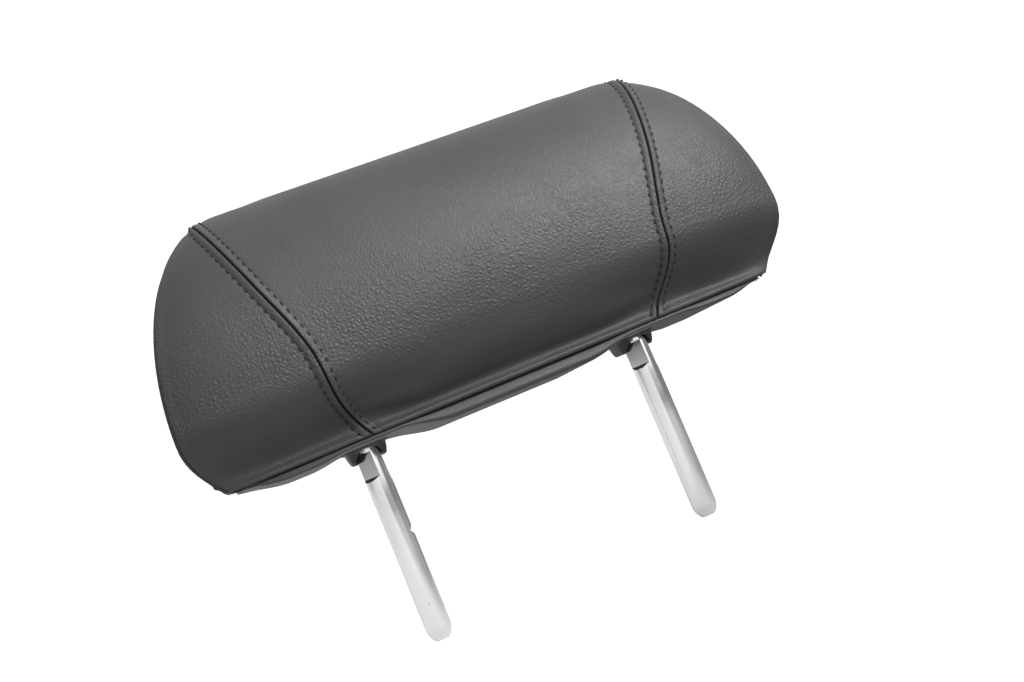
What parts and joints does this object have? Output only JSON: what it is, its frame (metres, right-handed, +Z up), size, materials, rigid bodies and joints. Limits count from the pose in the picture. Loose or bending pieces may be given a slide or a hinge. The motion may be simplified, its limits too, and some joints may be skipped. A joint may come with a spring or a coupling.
{
  "type": "car headrest",
  "caption": "Padded leather car headrest with seamed side panels that tilts on a bent steel rod with two chromed posts for a seat back's guides.",
  "frame": {"origin": "midway between the two posts, level with the underside of the cushion, where the posts enter the seat's guides when the headrest is fully down", "axes": "+Z up along the posts, +X across to the right of the picture, which is the sitter's left, and the face that meets the head looks towards -Y"},
  "size_m": [0.2848, 0.0949, 0.214],
  "materials": {
    "post_chrome": "bright chrome plating on steel, with bare machined notches",
    "cover_leather": "black pebble-grain leather, semi-matt, with black topstitching",
    "foam": "moulded polyurethane foam",
    "black_plastic": "black moulded plastic, fine matt texture",
    "carrier_plastic": "dark grey glass-filled plastic",
    "zinc_steel": "zinc-plated steel"
  },
  "bodies": {
    "post_frame": {"post_rod": "post_chrome"},
    "cushion": {"centre_panel": "cover_leather", "left_side_panel": "cover_leather", "right_side_panel": "cover_leather", "rear_panel": "cover_leather", "bottom_panel": "cover_leather", "foam_core": "foam", "left_bezel": "black_plastic", "right_bezel": "black_plastic", "carrier_front": "carrier_plastic", "carrier_rear": "carrier_plastic", "left_pivot_bush": "black_plastic", "right_pivot_bush": "black_plastic", "friction_clamp": "zinc_steel", "carrier_screw_lower_left": "zinc_steel", "carrier_screw_upper_left": "zinc_steel", "carrier_screw_lower_right": "zinc_steel", "carrier_screw_upper_right": "zinc_steel", "clamp_screw_lower": "zinc_steel", "clamp_screw_upper": "zinc_steel"}
  },
  "joints": [
    {"name": "cushion_tilt", "type": "hinge", "parent": "post_frame", "child": "cushion", "pos_m": [0, 0, 0.056], "axis": [1, 0, 0], "range_deg": [-9, 0]}
  ]
}
